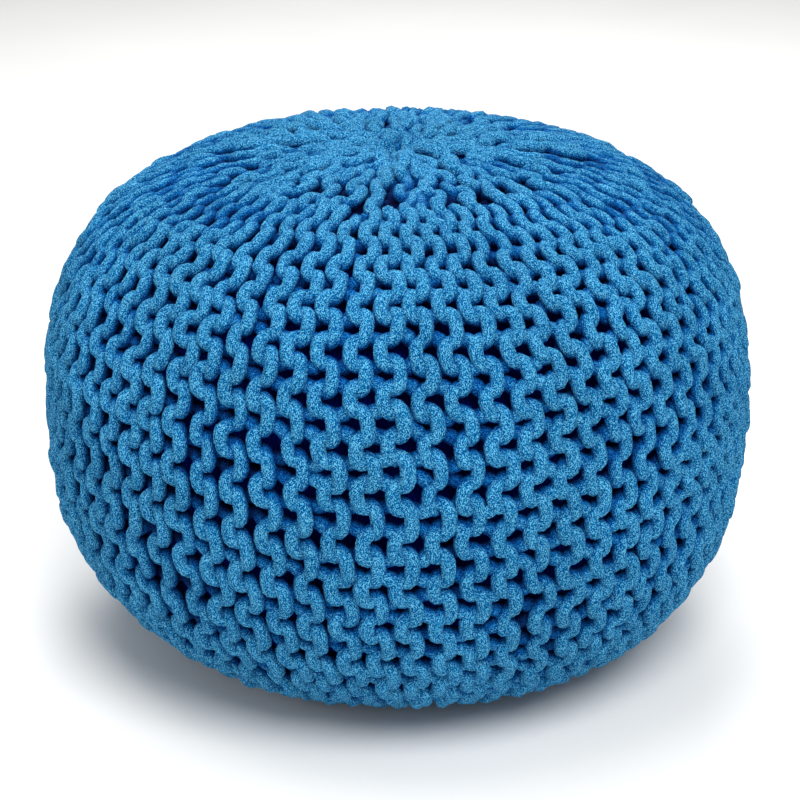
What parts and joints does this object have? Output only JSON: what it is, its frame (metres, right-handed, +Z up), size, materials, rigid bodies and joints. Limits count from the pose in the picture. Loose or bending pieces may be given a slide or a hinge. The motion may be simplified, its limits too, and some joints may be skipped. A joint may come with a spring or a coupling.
{
  "type": "knitted pouf",
  "caption": "Round floor pouf: a filled cushion in a thick hand-knitted cotton cord cover, ribbed from its gathered crown to its flat base.",
  "frame": {"origin": "on the floor, under the middle of the pouf's bounding box", "axes": "+Z up through the gathered crown, square to the flat base; the filling has settled slightly to +X"},
  "size_m": [0.5, 0.5, 0.3629],
  "materials": {
    "cotton_cord": "dyed cotton cord, knitted, matt"
  },
  "bodies": {
    "root": {"knitted_pouf": "cotton_cord"}
  },
  "joints": []
}
